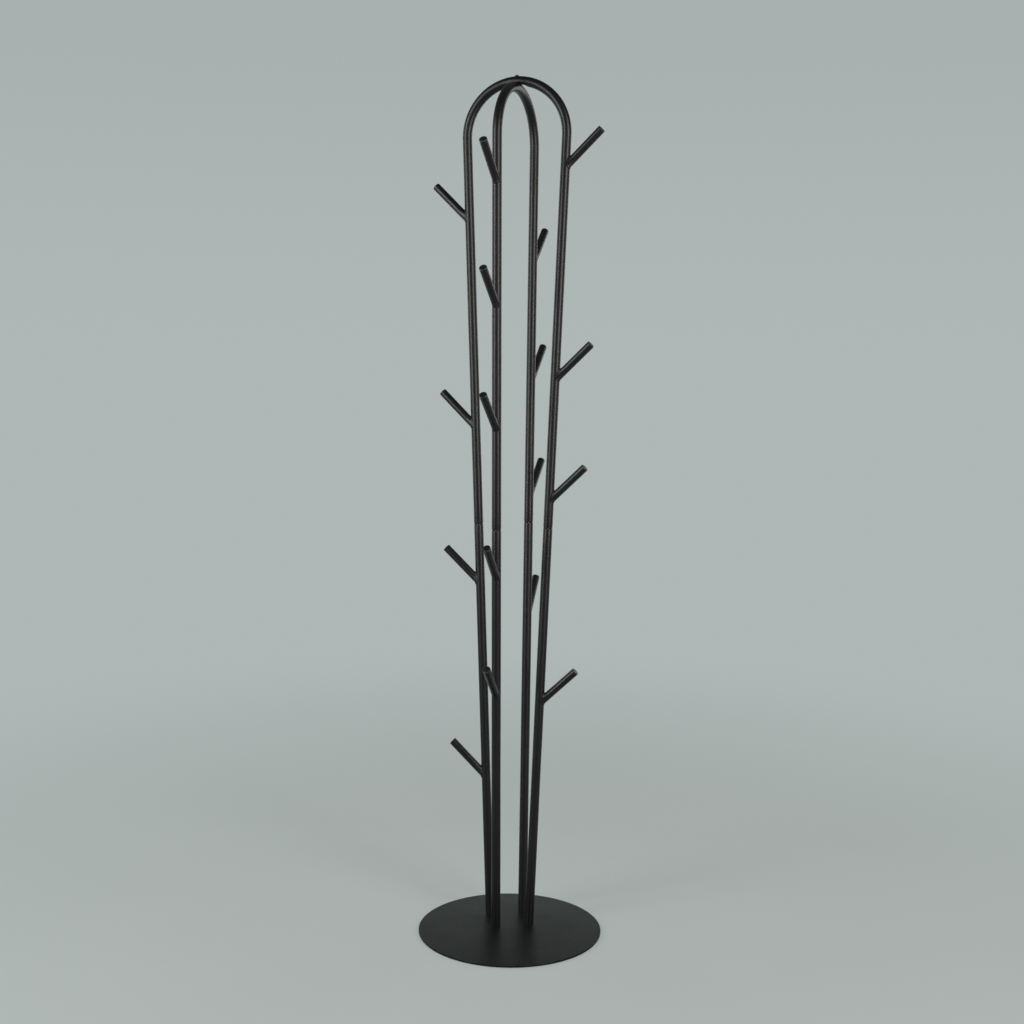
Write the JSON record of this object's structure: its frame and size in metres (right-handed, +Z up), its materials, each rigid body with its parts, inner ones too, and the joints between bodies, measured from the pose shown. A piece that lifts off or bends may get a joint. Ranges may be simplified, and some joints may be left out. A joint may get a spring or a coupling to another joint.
{
  "type": "standing coat rack",
  "caption": "Free-standing coat rack: two crossed tube hoops on a round flat base, their legs screwed together half-way up and set with slanted round pegs for coats and hats.",
  "frame": {"origin": "centre of the round base on the floor, on the underside of its felt", "axes": "+Z up; the front faces -Y; the four legs' common axis stands behind the base's centre, towards +Y"},
  "size_m": [0.38, 0.4088, 1.7515],
  "materials": {
    "powder_coat": "satin black powder coat on steel tube",
    "base_coat": "matte black powder coat on steel plate",
    "zinc_steel": "bright zinc plate",
    "felt": "charcoal felt"
  },
  "bodies": {
    "root": {"base_plate": "base_coat", "floor_felt": "felt", "lower_tube_left": "powder_coat", "lower_tube_front": "powder_coat", "lower_tube_back": "powder_coat", "lower_tube_right": "powder_coat", "over_hoop": "powder_coat", "under_hoop": "powder_coat", "peg_left_1": "powder_coat", "peg_left_2": "powder_coat", "peg_left_3": "powder_coat", "peg_left_4": "powder_coat", "peg_front_1": "powder_coat", "peg_front_2": "powder_coat", "peg_front_3": "powder_coat", "peg_front_4": "powder_coat", "peg_front_5": "powder_coat", "peg_back_1": "powder_coat", "peg_back_2": "powder_coat", "peg_back_3": "powder_coat", "peg_back_4": "powder_coat", "peg_right_1": "powder_coat", "peg_right_2": "powder_coat", "peg_right_3": "powder_coat", "peg_right_4": "powder_coat", "foot_insert_left": "zinc_steel", "foot_insert_front": "zinc_steel", "foot_insert_back": "zinc_steel", "foot_insert_right": "zinc_steel", "base_screw_left": "zinc_steel", "base_screw_front": "zinc_steel", "base_screw_back": "zinc_steel", "base_screw_right": "zinc_steel", "lower_insert_left": "zinc_steel", "lower_insert_front": "zinc_steel", "lower_insert_back": "zinc_steel", "lower_insert_right": "zinc_steel", "upper_insert_left": "zinc_steel", "upper_insert_front": "zinc_steel", "upper_insert_back": "zinc_steel", "upper_insert_right": "zinc_steel", "joint_stud_left": "zinc_steel", "joint_stud_front": "zinc_steel", "joint_stud_back": "zinc_steel", "joint_stud_right": "zinc_steel", "crown_screw": "powder_coat", "crown_insert": "zinc_steel"}
  },
  "joints": []
}
